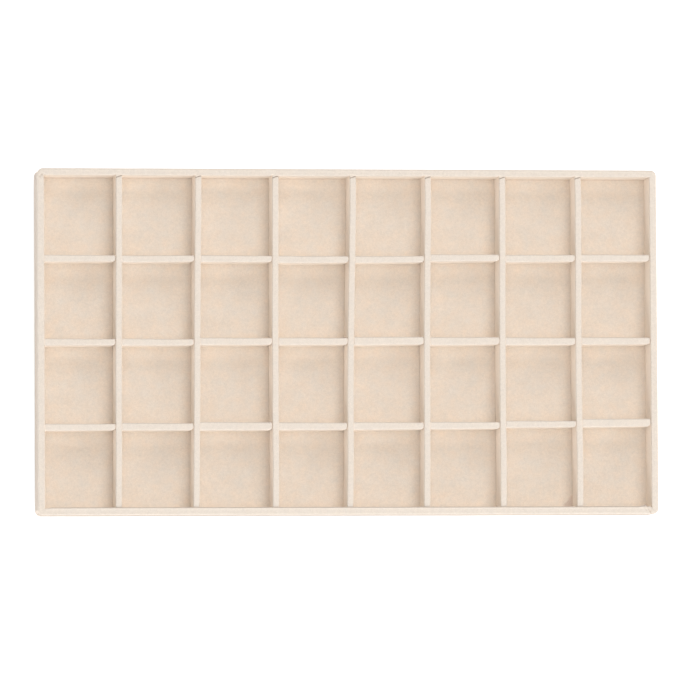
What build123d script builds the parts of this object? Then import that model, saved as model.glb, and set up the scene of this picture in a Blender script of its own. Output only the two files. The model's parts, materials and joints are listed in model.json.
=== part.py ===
from build123d import *
import os

# A shallow open jewelry tray: boards on edge round a base board, all covered in cloth, with long dividers
# from front to back and short cross dividers between them, glued down on the floor lining.
# Millimetres. The origin is at the middle of the underside, +X to the right and +Y to the back.

# Size over the cloth
tray_length = 374.65
tray_depth = 207.5
tray_height = 25.4
corner_radius = 3.0
inner_corner_radius = 0.8

# Boards
rim_board_thickness = 3.0
base_board_thickness = 2.5
column_board_thickness = 2.5
cross_board_thickness = 2.5
board_edge_radius = 0.5

# Cloth
rim_cloth = 0.6
column_cloth = 0.6
cross_cloth = 0.9
floor_cloth = 0.8
bottom_cloth = 0.8
hem_width = 12.0
bottom_border = 4.0

# Rounded cloth edges
rim_edge_radius = 1.2
column_edge_radius = 1.2
cross_edge_radius = 1.1
cross_tip_radius = 1.6

# Steps down from the rim to the column dividers, and from those to the cross dividers
column_drop = 0.5
cross_drop = 0.3

# A cross divider is glued close to its neighbour at its left end and leaves an open slit at its right end
left_end_gap = 0.05
right_slit = 0.35

# How far a cutting shape runs past what it cuts
cut_overrun = 5.0

# Where the column dividers stand, as shares of the inner length from the left, at the back and at the front
column_back_shares = [0.1228, 0.2529, 0.3798, 0.5076, 0.6315, 0.755, 0.8806]
column_front_shares = [0.1206, 0.2476, 0.3779, 0.5001, 0.6273, 0.7539, 0.881]

# Where the cross dividers stand, as shares of the inner depth from the front, from the left to the right
cross_row_shares = {
    "back": [0.7498, 0.7495, 0.7496, 0.7481, 0.7491, 0.7541, 0.7532, 0.7545],
    "middle": [0.4982, 0.4984, 0.5009, 0.5013, 0.5028, 0.5025, 0.5021, 0.5031],
    "front": [0.2431, 0.2442, 0.2457, 0.2454, 0.2461, 0.2474, 0.2513, 0.2551],
}

# The most of a strip's thickness that one of its rounded edges may take
round_limit_share = 0.45

# Worked out from the sizes above
rim_thickness = rim_board_thickness + 2 * rim_cloth
column_thickness = column_board_thickness + 2 * column_cloth
cross_thickness = cross_board_thickness + 2 * cross_cloth
inner_length = tray_length - 2 * rim_thickness
inner_depth = tray_depth - 2 * rim_thickness
base_length = inner_length + 2 * rim_cloth
base_depth = inner_depth + 2 * rim_cloth
base_bottom = bottom_cloth + rim_cloth
base_top = base_bottom + base_board_thickness
floor_top = base_top + floor_cloth
column_top = tray_height - column_drop
cross_top = column_top - cross_drop
hem_opening_length = tray_length - 2 * hem_width
hem_opening_depth = tray_depth - 2 * hem_width

os.makedirs("parts", exist_ok=True)


def keep(part, name):
    """Label a finished piece and write it to its own file."""
    part.label = name
    export_step(part, f"parts/{name}.step")


def rounding(radius, thickness):
    """The radius of a rounded edge, within what the strip's thickness allows."""
    return min(radius, thickness * round_limit_share)


def column_x(column, y):
    """Middle of one leaning column divider, numbered from zero, at a place between the front and the back."""
    front, back = column_front_shares[column], column_back_shares[column]
    along = (y + inner_depth / 2) / inner_depth
    return (front + (back - front) * along - 1 / 2) * inner_length


def column_plan(column, thickness):
    """Corners of a column divider's plan: it leans, and both its ends lie flat against the rim."""
    front_x = column_x(column, -inner_depth / 2)
    back_x = column_x(column, inner_depth / 2)
    return [
        (front_x - thickness / 2, -inner_depth / 2),
        (front_x + thickness / 2, -inner_depth / 2),
        (back_x + thickness / 2, inner_depth / 2),
        (back_x - thickness / 2, inner_depth / 2),
    ]


def bay_ends(column, y):
    """Left and right faces of the space that one cross divider fills, counted from zero at the left rim."""
    left, right = -inner_length / 2, inner_length / 2
    if column > 0:
        left = column_x(column - 1, y) + column_thickness / 2
    if column < len(column_back_shares):
        right = column_x(column, y) - column_thickness / 2
    return left, right


# Base board, between the four rim boards
with BuildPart() as base:
    with BuildSketch(Plane.XY.offset(base_bottom)):
        Rectangle(base_length, base_depth)
    extrude(amount=base_board_thickness)
keep(base.part, "base_board")

# Floor lining, on the base board and inside the rim cloth
with BuildPart() as floor:
    with BuildSketch(Plane.XY.offset(base_top)):
        RectangleRounded(inner_length, inner_depth, inner_corner_radius)
    extrude(amount=floor_cloth)
keep(floor.part, "floor_lining")

# Bottom lining: flat under the hem of the rim cloth, and stepped up inside the hem to lie on the base board
with BuildPart() as bottom:
    with BuildSketch(Plane.XY):
        RectangleRounded(tray_length - 2 * bottom_border, tray_depth - 2 * bottom_border, corner_radius)
    extrude(amount=bottom_cloth)
    with BuildSketch(Plane.XY):
        Rectangle(hem_opening_length, hem_opening_depth)
    extrude(amount=base_bottom)
    with BuildSketch(Plane.XY):
        Rectangle(hem_opening_length - 2 * bottom_cloth, hem_opening_depth - 2 * bottom_cloth)
    extrude(amount=base_bottom - bottom_cloth, mode=Mode.SUBTRACT)
keep(bottom.part, "bottom_lining")

# All four rim boards as one ring that stands on the hem, before the mitre cuts
with BuildPart() as board_ring:
    with BuildSketch(Plane.XY.offset(base_bottom)):
        RectangleRounded(tray_length - 2 * rim_cloth, tray_depth - 2 * rim_cloth, corner_radius - rim_cloth)
        Rectangle(base_length, base_depth, mode=Mode.SUBTRACT)
    extrude(amount=tray_height - rim_cloth - base_bottom)
    outer_edges = board_ring.faces().sort_by(Axis.Z)[-1].outer_wire().edges()
    fillet(outer_edges, rounding(board_edge_radius, rim_board_thickness))

# All the rim cloth as one ring: outer side, top, inner side down to the base board, and the hem under it
with BuildPart() as cloth_ring:
    with BuildSketch(Plane.XY.offset(bottom_cloth)):
        RectangleRounded(tray_length, tray_depth, corner_radius)
        RectangleRounded(inner_length, inner_depth, inner_corner_radius, mode=Mode.SUBTRACT)
    extrude(amount=tray_height - bottom_cloth)
    top_edges = cloth_ring.faces().sort_by(Axis.Z)[-1].edges()
    fillet(top_edges, rounding(rim_edge_radius, rim_thickness))
    with BuildSketch(Plane.XY.offset(bottom_cloth)):
        RectangleRounded(tray_length, tray_depth, corner_radius)
        Rectangle(hem_opening_length, hem_opening_depth, mode=Mode.SUBTRACT)
    extrude(amount=rim_cloth)
    add(board_ring.part, mode=Mode.SUBTRACT)
    add(base.part, mode=Mode.SUBTRACT)

# Plan of each side's share of the rim, out to its mitred corners
corner_x = tray_length / 2 + cut_overrun
corner_y = tray_depth / 2 + cut_overrun
meeting_x = (tray_length - tray_depth) / 2
side_plans = {
    "front": [(-corner_x, -corner_y), (corner_x, -corner_y), (meeting_x, 0), (-meeting_x, 0)],
    "back": [(-meeting_x, 0), (meeting_x, 0), (corner_x, corner_y), (-corner_x, corner_y)],
    "left": [(-corner_x, -corner_y), (-meeting_x, 0), (-corner_x, corner_y)],
    "right": [(corner_x, -corner_y), (corner_x, corner_y), (meeting_x, 0)],
}

# Rim boards and rim wraps, one of each to a side
for side, plan in side_plans.items():
    for ring, kind in ((board_ring, "rim_board"), (cloth_ring, "rim_wrap")):
        with BuildPart() as rim_side:
            add(ring.part)
            with BuildSketch(Plane.XY):
                with BuildLine():
                    Polyline(*plan, close=True)
                make_face()
            extrude(amount=tray_height + cut_overrun, mode=Mode.INTERSECT)
        keep(rim_side.part, f"{kind}_{side}")

# Column dividers: a board on edge from rim to rim, and the cloth over its two sides and its top
for column in range(len(column_back_shares)):
    with BuildPart() as column_board:
        with BuildSketch(Plane.XY.offset(floor_top)):
            with BuildLine():
                Polyline(*column_plan(column, column_board_thickness), close=True)
            make_face()
        extrude(amount=column_top - column_cloth - floor_top)
    keep(column_board.part, f"column_divider_{column + 1}")

    with BuildPart() as column_wrap:
        with BuildSketch(Plane.XY.offset(floor_top)):
            with BuildLine():
                Polyline(*column_plan(column, column_thickness), close=True)
            make_face()
        extrude(amount=column_top - floor_top)
        long_edges = column_wrap.faces().sort_by(Axis.Z)[-1].edges().sort_by(SortBy.LENGTH)[-2:]
        fillet(long_edges, rounding(column_edge_radius, column_thickness))
        add(column_board.part, mode=Mode.SUBTRACT)
    keep(column_wrap.part, f"column_wrap_{column + 1}")

# Cross dividers: eight short boards to a row, each in its own cloth that also covers both of its ends
for row, shares in cross_row_shares.items():
    row_wraps = []
    for column, share in enumerate(shares):
        y = (share - 1 / 2) * inner_depth
        left, right = bay_ends(column, y)
        left, right = left + left_end_gap, right - right_slit

        with BuildPart() as cross_board:
            with BuildSketch(Plane.XY.offset(floor_top)):
                with Locations(((left + right) / 2, y)):
                    Rectangle(right - left - 2 * cross_cloth, cross_board_thickness)
            extrude(amount=cross_top - cross_cloth - floor_top)
        keep(cross_board.part, f"cross_divider_{row}_{column + 1}")

        with BuildPart() as cross_wrap:
            with BuildSketch(Plane.XY.offset(floor_top)):
                with Locations(((left + right) / 2, y)):
                    tip_radius = rounding(cross_tip_radius, cross_thickness)
                    RectangleRounded(right - left, cross_thickness, tip_radius)
            extrude(amount=cross_top - floor_top)
            top_edges = cross_wrap.faces().sort_by(Axis.Z)[-1].edges()
            fillet(top_edges, min(cross_edge_radius, tip_radius))
            add(cross_board.part, mode=Mode.SUBTRACT)
        row_wraps.append(cross_wrap.part)

    with BuildPart() as cross_wraps:
        add(row_wraps)
    keep(cross_wraps.part, f"cross_wraps_{row}")
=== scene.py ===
"""A shallow jewelry tray in beige short-pile cloth, dressed round its packed boards.

Lengths are in metres in the tray's own frame: the origin at the middle of the underside, +X to the right,
+Y to the back and +Z up. Every size that the boards already have is read from the frame.
"""

import json
import logging
import math
from dataclasses import dataclass, field
from enum import Enum
from typing import Callable, Sequence

import bmesh
import bpy
from mathutils import Matrix, Vector, noise

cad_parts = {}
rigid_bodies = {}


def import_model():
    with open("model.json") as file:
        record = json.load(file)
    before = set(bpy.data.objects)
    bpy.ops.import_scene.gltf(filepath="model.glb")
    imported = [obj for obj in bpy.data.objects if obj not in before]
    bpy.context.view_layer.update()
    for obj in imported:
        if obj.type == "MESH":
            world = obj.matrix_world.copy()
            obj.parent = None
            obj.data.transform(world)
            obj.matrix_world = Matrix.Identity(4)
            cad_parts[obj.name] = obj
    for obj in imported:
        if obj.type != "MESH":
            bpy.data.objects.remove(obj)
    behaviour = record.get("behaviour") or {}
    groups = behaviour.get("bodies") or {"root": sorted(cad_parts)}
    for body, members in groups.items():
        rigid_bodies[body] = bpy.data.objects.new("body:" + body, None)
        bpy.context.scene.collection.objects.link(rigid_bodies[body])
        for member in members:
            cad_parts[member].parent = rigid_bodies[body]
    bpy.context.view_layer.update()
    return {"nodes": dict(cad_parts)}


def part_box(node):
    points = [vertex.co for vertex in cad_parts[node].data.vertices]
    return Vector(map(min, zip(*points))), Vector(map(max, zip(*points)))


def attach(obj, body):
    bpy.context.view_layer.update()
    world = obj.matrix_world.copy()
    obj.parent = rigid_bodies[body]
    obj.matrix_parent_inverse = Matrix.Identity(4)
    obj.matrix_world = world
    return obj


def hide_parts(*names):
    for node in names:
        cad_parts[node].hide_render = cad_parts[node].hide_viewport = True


LOG = logging.getLogger("jewelry_tray")

MM = 0.001

# The tray's one body, its rows of cross dividers and its columns of compartments
BODY = "root"
ROWS = ("back", "middle", "front")
COLUMNS = 8

# How much painted shade darkens the tops against the sides, and how far under a top that starts and is full
TOP_SHADE_SHARE = 0.29
TOP_SHADE_START = 1.2 * MM
TOP_SHADE_FULL = 0.3 * MM

# Faces of a shell that meet at a larger angle than this, in degrees, keep a sharp edge
CREASE_ANGLE = 55

# Steps of a rounded edge, seen in section
EDGE_STEPS = 6

# White light at full strength
WHITE = (1.0, 1.0, 1.0, 1.0)

# The inputs that the trees of all the strips' wraps end with
STRIP_INPUTS = {"Sway": 0.0, "Sway length": 0.0, "Seed": 0.0, "Cloth": "Material"}


class Side(Enum):
    """One side of the rim, with the turn in degrees that brings the front side there."""

    FRONT = 0
    RIGHT = 90
    BACK = 180
    LEFT = 270

    @property
    def word(self) -> str:
        """The side's name as the nodes spell it."""
        return self.name.lower()


class Hold(Enum):
    """How a sheet of cloth is held on its board."""

    STRETCHED = "stretched"
    FOLDED = "folded"
    LAID = "laid"


def smooth_step(low: float, high: float, value: float) -> float:
    """Ease from 0 at low to 1 at high.

    Args:
        low: Where the result is still 0.
        high: Where the result has reached 1.
        value: The place to look up.

    Returns:
        The eased share, from 0 to 1.
    """
    t = min(1.0, max(0.0, (value - low) / (high - low)))
    return t * t * (3 - 2 * t)


def bump(distance: float, reach: float) -> float:
    """A soft bell that is 1 at distance 0 and has faded by about twice its reach."""
    return math.exp(-((distance / reach) ** 2))


def wave(place: Vector, length: float, seed: float) -> float:
    """Smooth noise between about -1 and 1 at a place.

    Args:
        place: The point, in metres.
        length: The distance between neighbouring swells.
        seed: Shifts the pattern, so that pieces differ.

    Returns:
        The noise value.
    """
    return noise.noise(place / length + Vector((seed, -seed, 2 * seed)))


def evaluated_mesh(obj: bpy.types.Object, name: str) -> bpy.types.Mesh:
    """A plain mesh of an object as its modifiers show it."""
    graph = bpy.context.evaluated_depsgraph_get()
    mesh = bpy.data.meshes.new_from_object(obj.evaluated_get(graph))
    mesh.name = name
    return mesh


def gap_to_line(place: Vector, start: Vector, end: Vector) -> Vector:
    """The way from the nearest point of a straight line to a place.

    Args:
        place: The place.
        start: One end of the line.
        end: Its other end.

    Returns:
        The way, as a vector.
    """
    way = end - start
    off = place - start
    share = min(1.0, max(0.0, off.dot(way) / way.length_squared))
    return off - way * share


def add_object(name: str, data: bpy.types.ID | None) -> bpy.types.Object:
    """Make an object of some data and link it to the scene."""
    obj = bpy.data.objects.new(name, data)
    bpy.context.scene.collection.objects.link(obj)
    return obj


def even_rows(start: tuple[float, float], end: tuple[float, float], across: int, deep: int) -> list:
    """Even rows of places from one corner of a rectangle to the opposite one.

    Args:
        start: The first corner's x and y.
        end: The last corner's x and y.
        across: How many steps each row has.
        deep: How many steps lie between the first row and the last.

    Returns:
        Rows of pairs of x and y.
    """
    (x0, y0), (x1, y1) = start, end
    return [
        [(x0 + (x1 - x0) * i / across, y0 + (y1 - y0) * j / deep) for i in range(across + 1)]
        for j in range(deep + 1)
    ]


def grid_mesh(name: str, rows: Sequence[Sequence[Vector]]) -> bpy.types.Mesh:
    """A sheet of quads through rows of points.

    Args:
        name: The mesh's name.
        rows: Equal rows of points. Seen with the rows going up and each row going right, faces point at
            the viewer.

    Returns:
        The smooth-shaded mesh.
    """
    width = len(rows[0])
    faces = [
        (r * width + c, r * width + c + 1, (r + 1) * width + c + 1, (r + 1) * width + c)
        for r in range(len(rows) - 1)
        for c in range(width - 1)
    ]
    mesh = bpy.data.meshes.new(name)
    mesh.from_pydata([p for row in rows for p in row], [], faces)
    mesh.shade_smooth()
    return mesh


def thicken(mesh: bpy.types.Mesh, thickness: float) -> bpy.types.Mesh:
    """Give a sheet its thickness, behind its outer face, as a closed shell.

    Args:
        mesh: The sheet, whose faces point outwards. It is used up.
        thickness: The cloth's thickness.

    Returns:
        The closed shell.
    """
    name = mesh.name
    obj = add_object(name, mesh)
    solid = obj.modifiers.new("Cloth", "SOLIDIFY")
    solid.thickness = thickness
    solid.offset = -1
    solid.use_even_offset = True
    shell = evaluated_mesh(obj, name)
    bpy.data.objects.remove(obj)
    bpy.data.meshes.remove(mesh)
    shell.name = name
    shell.shade_smooth()
    shell.set_sharp_from_angle(angle=math.radians(CREASE_ANGLE))
    return shell


def divide(mesh: bpy.types.Mesh, wanted: Callable[[Vector], bool], cuts: int) -> None:
    """Cut the faces of one region into smaller ones.

    Args:
        mesh: The mesh to change.
        wanted: Tells whether a place belongs to the region.
        cuts: How many cuts each edge gets.
    """
    work = bmesh.new()
    work.from_mesh(mesh)
    edges = [e for e in work.edges if wanted(e.verts[0].co) and wanted(e.verts[1].co)]
    bmesh.ops.subdivide_edges(work, edges=edges, cuts=cuts, use_grid_fill=True)
    work.to_mesh(mesh)
    work.free()
    mesh.update()


def displace(mesh: bpy.types.Mesh, move: Callable[[Vector, Vector], float]) -> None:
    """Move each point of a mesh along its own normal.

    Args:
        mesh: The mesh to change.
        move: Gives the distance for a place and its normal.
    """
    normals = [v.normal.copy() for v in mesh.vertices]
    for vertex, normal in zip(mesh.vertices, normals):
        vertex.co += normal * move(vertex.co.copy(), normal)
    mesh.update()


def mark(mesh: bpy.types.Mesh, amount: Callable[[Vector], float]) -> None:
    """Keep, on a mesh, how much painted shade darkens the cloth at each point.

    Args:
        mesh: The mesh to paint the shade on.
        amount: Gives the share, from 0 to 1, for a place.
    """
    turned = mesh.attributes.new("turned", "FLOAT", "POINT")
    for i, vertex in enumerate(mesh.vertices):
        turned.data[i].value = amount(vertex.co)


def arc(centre: tuple[float, float], radius: float, start: float, end: float, steps: int) -> list:
    """Points of an arc in a section's plane.

    Args:
        centre: The arc's centre.
        radius: Its radius.
        start: The first angle in degrees, from the section's first axis.
        end: The last angle in degrees.
        steps: How many steps the arc is cut into.

    Returns:
        The points, the first and the last included.
    """
    angles = [math.radians(start + (end - start) * i / steps) for i in range(steps + 1)]
    return [(centre[0] + radius * math.cos(a), centre[1] + radius * math.sin(a)) for a in angles]


def fill_section(corners: Sequence[tuple[float, float]], spacing: float) -> list:
    """Add even points along the straight parts of a section.

    Args:
        corners: The section's own points in order.
        spacing: The longest step that is left.

    Returns:
        The section's points with the long steps divided.
    """
    points = [corners[0]]
    for (x0, y0), (x1, y1) in zip(corners, corners[1:]):
        steps = max(1, math.ceil(math.hypot(x1 - x0, y1 - y0) / spacing))
        points += [(x0 + (x1 - x0) * i / steps, y0 + (y1 - y0) * i / steps) for i in range(1, steps + 1)]
    return points


def brushed(place: Vector, top: float) -> float:
    """How much painted shade darkens the top of a strip against its sides.

    Args:
        place: The point.
        top: The strip's height.

    Returns:
        The share, 0 down the sides.
    """
    return TOP_SHADE_SHARE * smooth_step(top - TOP_SHADE_START, top - TOP_SHADE_FULL, place.z)


@dataclass(frozen=True)
class NodeMaker:
    """Adds nodes to one node tree and wires them.

    Attributes:
        tree: The tree that is being built.
    """

    tree: bpy.types.NodeTree

    def add(self, kind: str, inputs: dict | None = None, **settings: object) -> bpy.types.Node:
        """Add one node.

        Args:
            kind: The node's type name.
            inputs: Socket name or number to a value, or to an output socket that is linked to it.
            **settings: Properties of the node itself.

        Returns:
            The new node.
        """
        node = self.tree.nodes.new(kind)
        for key, value in settings.items():
            setattr(node, key, value)
        for key, value in (inputs or {}).items():
            if isinstance(value, bpy.types.NodeSocket):
                self.tree.links.new(value, node.inputs[key])
            else:
                node.inputs[key].default_value = value
        return node

    def maths(self, operation: str, *values: object) -> bpy.types.NodeSocket:
        """Add a Math node and return its output."""
        kind = "ShaderNodeMath"
        return self.add(kind, dict(enumerate(values)), operation=operation).outputs[0]

    def vector(self, operation: str, *values: object) -> bpy.types.NodeSocket:
        """Add a Vector Math node and return its vector output."""
        kind = "ShaderNodeVectorMath"
        return self.add(kind, dict(enumerate(values)), operation=operation).outputs[0]


def cleared(owner: bpy.types.Material | bpy.types.World) -> NodeMaker:
    """Empty the node tree of a new material or world, and return a maker for it."""
    owner.use_nodes = True
    owner.node_tree.nodes.clear()
    return NodeMaker(owner.node_tree)


def new_group(name: str, kind: str, inputs: dict, outputs: dict) -> NodeMaker:
    """Start a node group with named inputs and outputs.

    Args:
        name: The group's name.
        kind: The type of its tree.
        inputs: Each input's name, to the last word of its socket type or to a number's own default.
        outputs: Each output's name, to the last word of its socket type.

    Returns:
        A maker for the group's tree.
    """
    tree = bpy.data.node_groups.new(name, kind)
    for direction, sockets in (("INPUT", inputs), ("OUTPUT", outputs)):
        for key, given in sockets.items():
            word = given if isinstance(given, str) else "Float"
            socket = tree.interface.new_socket(key, in_out=direction, socket_type=f"NodeSocket{word}")
            if not isinstance(given, str):
                socket.default_value = given
    return NodeMaker(tree)


def seen(make: NodeMaker) -> bpy.types.NodeSocket:
    """A mask that is 1 for what the camera sees, straight, in a gloss or through glass."""
    rays = make.add("ShaderNodeLightPath").outputs
    not_straight = make.maths("MAXIMUM", rays["Is Glossy Ray"], rays["Is Transmission Ray"])
    return make.maths("MAXIMUM", rays["Is Camera Ray"], not_straight)


def pile_group() -> bpy.types.ShaderNodeTree:
    """The short pile that all the cloth shares: soft blotches, fibre grain and a height for the bump.

    Returns:
        A group with the named inputs Place, Blotch size, Fibre size, Blotch depth and Fibre depth, and the
        outputs Shade, a factor round 1 for the colour, Warmth, from 0 to 1, and Height.
    """
    make = new_group(
        "Short pile", "ShaderNodeTree",
        {"Place": "Vector", "Blotch size": 9 * MM, "Fibre size": 0.5 * MM, "Blotch depth": 0.03,
         "Fibre depth": 0.03},
        {"Shade": "Float", "Warmth": "Float", "Height": "Float"})
    given = make.add("NodeGroupInput").outputs

    def cloud(scale: object, offset: float, detail: float) -> bpy.types.NodeSocket:
        """Noise from about -1 to 1 at one scale."""
        place = make.vector("ADD", given["Place"], (offset, -offset, offset))
        node = make.add("ShaderNodeTexNoise", {"Vector": place, "Scale": scale, "Detail": detail,
                                               "Roughness": 0.55}, noise_dimensions="3D")
        return make.maths("MULTIPLY_ADD", node.outputs[0], 2.0, -1.0)

    blotch_scale = make.maths("DIVIDE", 1.0, given["Blotch size"])
    fibre_scale = make.maths("DIVIDE", 1.0, given["Fibre size"])
    blotch = cloud(blotch_scale, 0.0, 2.0)
    streak = cloud(make.maths("MULTIPLY", blotch_scale, 3.1), 1.7, 3.0)
    tuft = cloud(make.maths("MULTIPLY", fibre_scale, 0.3), 3.1, 2.0)
    fibre = cloud(fibre_scale, 5.3, 3.0)
    broad = make.maths("MULTIPLY_ADD", streak, 0.5, blotch)
    fine = make.maths("MULTIPLY_ADD", tuft, 0.6, fibre)
    broad_shade = make.maths("MULTIPLY", broad, given["Blotch depth"])
    fine_shade = make.maths("MULTIPLY", fine, given["Fibre depth"])
    shade = make.maths("ADD", make.maths("ADD", broad_shade, fine_shade), 1.0)
    drift = cloud(make.maths("MULTIPLY", blotch_scale, 1.4), 8.9, 2.0)
    warmth = make.maths("MULTIPLY_ADD", drift, 0.9, 0.5)
    make.add("NodeGroupOutput", {"Shade": shade, "Warmth": warmth, "Height": fine})
    return make.tree


@dataclass(frozen=True)
class ClothFinish:
    """Dyed short-pile cloth.

    Attributes:
        name: The material's name.
        warm: Linear colour where the pile leans to a warm tone.
        cool: Linear colour where it leans to a cooler one.
        blotch_size: Width of the soft blotches.
        blotch_depth: How much they lighten and darken.
        fibre_depth: How much single fibres lighten and darken.
        sheen: Weight of the bright fuzz at grazing angles.
        grain: Bump strength of the fibres.
        grain_height: How tall the fibres are for the bump.
        turned: The colour that painted shade darkens the cloth towards.
    """

    name: str
    warm: tuple[float, float, float]
    cool: tuple[float, float, float]
    blotch_size: float = 9 * MM
    blotch_depth: float = 0.02
    fibre_depth: float = 0.03
    sheen: float = 1.0
    grain: float = 0.25
    grain_height: float = 0.15 * MM
    turned: tuple[float, float, float] = (1.0, 1.0, 1.0)

    def build(self, pile: bpy.types.ShaderNodeTree) -> bpy.types.Material:
        """Make the material.

        Args:
            pile: The shared group of the short pile.

        Returns:
            The finished material.
        """
        material = bpy.data.materials.new(self.name)
        make = cleared(material)
        nap = make.add("ShaderNodeGroup", {
            "Place": make.add("ShaderNodeTexCoord").outputs["Object"], "Blotch size": self.blotch_size,
            "Blotch depth": self.blotch_depth, "Fibre depth": self.fibre_depth}, node_tree=pile).outputs
        tone = make.add("ShaderNodeMix", {0: nap["Warmth"], 6: (*self.cool, 1), 7: (*self.warm, 1)},
                        data_type="RGBA").outputs[2]
        # Painted shade: the colour is darkened towards the cloth's shade colour by the share that the mesh
        # keeps.
        shade_share = make.add("ShaderNodeAttribute", attribute_name="turned").outputs["Fac"]
        shade_mix = make.add("ShaderNodeMix", {0: shade_share, 4: (1, 1, 1), 5: self.turned}, data_type="VECTOR")
        shaded_tone = make.vector("MULTIPLY", tone, shade_mix.outputs[1])
        colour = make.add("ShaderNodeVectorMath", {0: shaded_tone, "Scale": nap["Shade"]}, operation="SCALE")
        grain = make.add("ShaderNodeBump", {"Strength": self.grain, "Distance": self.grain_height,
                                            "Height": nap["Height"]})
        shader = make.add("ShaderNodeBsdfPrincipled", {
            "Base Color": colour.outputs[0], "Roughness": 0.95, "Specular IOR Level": 0.15,
            "Sheen Weight": self.sheen, "Sheen Roughness": 0.5, "Sheen Tint": (1.0, 0.88, 0.77, 1),
            "Normal": grain.outputs[0]})
        make.add("ShaderNodeOutputMaterial", {"Surface": shader.outputs[0]})
        return material


@dataclass(frozen=True)
class BoardFinish:
    """Grey chipboard with pressed fibres and flecks.

    Attributes:
        name: The material's name.
        dark: Linear colour of the dark fibres.
        light: Linear colour of the light fibres.
        fibre_size: Size of a fibre.
        fleck_size: Size of a fleck.
    """

    name: str = "greyboard"
    dark: tuple[float, float, float] = (0.17, 0.15, 0.13)
    light: tuple[float, float, float] = (0.33, 0.30, 0.26)
    fibre_size: float = 0.7 * MM
    fleck_size: float = 3 * MM

    def build(self) -> bpy.types.Material:
        """Make the material.

        Returns:
            The finished material.
        """
        material = bpy.data.materials.new(self.name)
        make = cleared(material)
        place = make.add("ShaderNodeTexCoord").outputs["Object"]
        fibres, flecks = (
            make.add("ShaderNodeTexNoise", {"Vector": place, "Scale": 1 / size, "Detail": detail}).outputs[0]
            for size, detail in ((self.fibre_size, 5.0), (self.fleck_size, 2.0)))
        mixed = make.maths("MULTIPLY_ADD", flecks, 0.4, make.maths("MULTIPLY", fibres, 0.7))
        ramp = make.add("ShaderNodeValToRGB", {"Fac": mixed})
        for stop, position, colour in zip(ramp.color_ramp.elements, (0.35, 0.75), (self.dark, self.light)):
            stop.position = position
            stop.color = (*colour, 1)
        grain = make.add("ShaderNodeBump", {"Strength": 0.3, "Distance": 0.1 * MM, "Height": fibres})
        shader = make.add("ShaderNodeBsdfPrincipled", {
            "Base Color": ramp.outputs[0], "Roughness": 0.9, "Specular IOR Level": 0.2,
            "Normal": grain.outputs[0]})
        make.add("ShaderNodeOutputMaterial", {"Surface": shader.outputs[0]})
        return material


@dataclass
class Piece:
    """One finished piece and the nodes that it stands for.

    Attributes:
        obj: The piece's object.
        nodes: The nodes that it stands for.
        slot: The record's material slot. It is not used.
    """

    obj: bpy.types.Object
    nodes: Sequence[str]
    slot: str

    def hand_over(self) -> None:
        """Ride the piece on the tray and hide the nodes that it stands for.
        """
        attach(self.obj, BODY)
        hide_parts(*self.nodes)
        LOG.info("%s stands for %s", self.obj.name, ", ".join(self.nodes))


@dataclass
class TrayPlan:
    """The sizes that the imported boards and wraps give.

    Attributes:
        half_length: Half the tray's outer length.
        half_depth: Half its outer depth.
        top: Height of the rim over the cloth.
        rim: Thickness of the rim over the cloth.
        rim_cloth: Thickness of the rim's cloth.
        hem: Width of the hem under the base.
        hem_bottom: Height of the hem's lower face.
        base_top: Height of the base board's upper face.
        floor_top: Height of the floor lining's upper face.
    """

    half_length: float
    half_depth: float
    top: float
    rim: float
    rim_cloth: float
    hem: float
    hem_bottom: float
    base_top: float
    floor_top: float

    @classmethod
    def from_frame(cls) -> "TrayPlan":
        """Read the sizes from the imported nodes.

        Returns:
            The plan.
        """
        left_low, left_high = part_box("rim_wrap_left")
        front_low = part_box("rim_wrap_front")[0]
        board_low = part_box("rim_board_left")[0]
        base_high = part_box("base_board")[1]
        floor_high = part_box("floor_lining")[1]
        return cls(
            half_length=-left_low.x,
            half_depth=-front_low.y,
            top=left_high.z,
            rim=-left_low.x - floor_high.x,
            rim_cloth=board_low.x - left_low.x,
            hem=left_high.x - left_low.x,
            hem_bottom=left_low.z,
            base_top=base_high.z,
            floor_top=floor_high.z,
        )

    @property
    def inner_half_depth(self) -> float:
        """Half the depth between the rim's inner faces."""
        return self.half_depth - self.rim


@dataclass(frozen=True)
class CornerFold:
    """One fold of the cloth at a corner of the rim, with its lengths in millimetres.

    Attributes:
        corner: Which corner, as the signs of its x and y.
        start: Where the fold starts, in from the tray's end and in from its side.
        end: Where it ends, given the same way.
        depth: How deep it is pressed in.
        width: How wide it is.
        lip: How far the cloth stands up beside it, on the side of the corner.
        lip_place: How far beside the fold the lip stands, in widths of the fold.
        lip_width: How wide the lip is, in widths of the fold.
        lip_fade: Over what length the lip fades past the fold's ends.
        matted_width: How wide the painted shade along the fold is, in widths of the fold.
    """

    corner: tuple[int, int]
    start: tuple[float, float]
    end: tuple[float, float]
    depth: float
    width: float
    lip: float
    lip_place: float = 2.2
    lip_width: float = 1.6
    lip_fade: float = 0.6
    matted_width: float = 0.8

    def height(self, from_end: float, from_side: float) -> float:
        """How far the fold lifts the cloth at a place given in millimetres, in millimetres too."""
        start, end = Vector(self.start), Vector(self.end)
        place = Vector((from_end, from_side))
        way = end - start
        gap = gap_to_line(place, start, end).length
        beside = way.cross(place - start) / way.length
        towards_corner = math.copysign(1.0, way.cross(-start))
        from_lip = beside * towards_corner - self.lip_place * self.width
        raised = self.lip * bump(from_lip, self.lip_width * self.width)
        return raised * bump(gap - abs(beside), self.lip_fade) - self.depth * bump(gap, self.width)

    def matted(self, from_end: float, from_side: float) -> float:
        """How much painted shade darkens the cloth along the fold, from 0 to the fold's depth, at a place
        given in millimetres.
        """
        gap = gap_to_line(Vector((from_end, from_side)), Vector(self.start), Vector(self.end)).length
        return bump(gap, self.matted_width * self.width) * self.depth


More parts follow.
